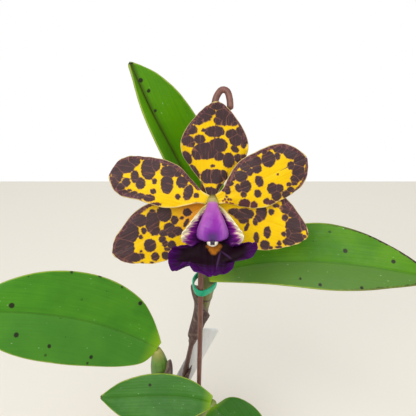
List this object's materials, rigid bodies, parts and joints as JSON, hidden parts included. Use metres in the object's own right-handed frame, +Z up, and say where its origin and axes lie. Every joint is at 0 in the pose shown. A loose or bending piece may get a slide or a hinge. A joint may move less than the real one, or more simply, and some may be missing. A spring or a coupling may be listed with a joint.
{
  "type": "potted cattleya orchid",
  "caption": "Potted cattleya orchid with a spotted yellow bloom, ruffled purple lip, leathery leaves on slim pseudobulbs, bark, clay pot, wire stake and clips.",
  "frame": {"origin": "centre of the pot's flat foot", "axes": "+Z up out of the pot; the bloom faces -Y and up; +X to the right as seen from the front"},
  "size_m": [0.237, 0.122, 0.3605],
  "materials": {
    "clay": "matte",
    "bark": "matte",
    "rhizome": "satin",
    "pseudobulb": "satin",
    "sheath": "matte",
    "leaf": "satin",
    "flower_stalk": "satin",
    "sepal": "satin",
    "petal": "satin",
    "lip": "satin",
    "column": "satin",
    "anther": "satin",
    "coated_wire": "satin",
    "clip_plastic": "satin",
    "label_plastic": "satin"
  },
  "bodies": {
    "root": {"pot": "clay", "bark_medium": "bark", "rhizome": "rhizome", "pseudobulb_flowering": "pseudobulb", "pseudobulb_left": "pseudobulb", "pseudobulb_front": "pseudobulb", "sheath_flowering_upper": "sheath", "sheath_flowering_lower": "sheath", "sheath_left": "sheath", "sheath_front": "sheath", "leaf_upper": "leaf", "leaf_right": "leaf", "leaf_left": "leaf", "leaf_front_left": "leaf", "leaf_front_right": "leaf", "flower_stalk": "flower_stalk", "dorsal_sepal": "sepal", "sepal_left": "sepal", "sepal_right": "sepal", "petal_left": "petal", "petal_right": "petal", "lip": "lip", "column": "column", "anther_cap": "anther", "stake": "coated_wire", "clip_lower": "clip_plastic", "clip_upper": "clip_plastic", "label": "label_plastic"}
  },
  "joints": []
}
